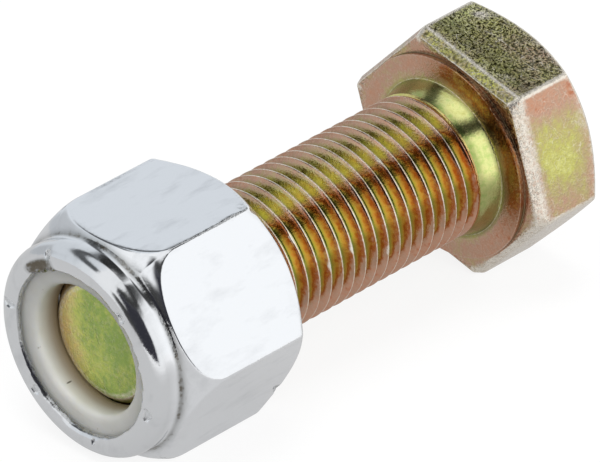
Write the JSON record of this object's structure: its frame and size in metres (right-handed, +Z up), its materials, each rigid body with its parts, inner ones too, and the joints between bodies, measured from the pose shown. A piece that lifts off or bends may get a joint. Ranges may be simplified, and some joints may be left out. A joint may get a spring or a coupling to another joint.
{
  "type": "hex bolt with nylon-insert lock nut",
  "caption": "Short yellow-plated hex bolt, threaded up to a plain neck, with a bright nylon-insert lock nut run on to its end for clamping a cutting blade.",
  "frame": {"origin": "centre of the bearing face under the head", "axes": "+X along the shank towards its tip, +Z up and square to the nut's upper flat"},
  "size_m": [0.0484, 0.0218, 0.021],
  "materials": {
    "yellow_zinc": "yellow zinc plating with a faint rainbow sheen, worn pale at the edges",
    "bright_zinc": "bright zinc plating, softly reflective, with handling nicks",
    "nylon": "off-white nylon, softly translucent"
  },
  "bodies": {
    "bolt_body": {"bolt": "yellow_zinc"},
    "insert_body": {"nylon_insert": "nylon"},
    "nut_body": {"lock_nut": "bright_zinc"}
  },
  "joints": [
    {"name": "nut_travel", "type": "slide", "parent": "bolt_body", "child": "insert_body", "axis": [1, 0, 0], "range_m": [-0.021, 0.0131], "deforming": ["nylon_insert"]},
    {"name": "nut_turn", "type": "hinge", "parent": "insert_body", "child": "nut_body", "pos_m": [0.03, 0, 0], "axis": [1, 0, 0], "range_deg": [-5940, 3690]}
  ],
  "couplings": [
    {"joint": "nut_travel", "follows": "nut_turn", "m_per_rad": 0.00020213}
  ]
}
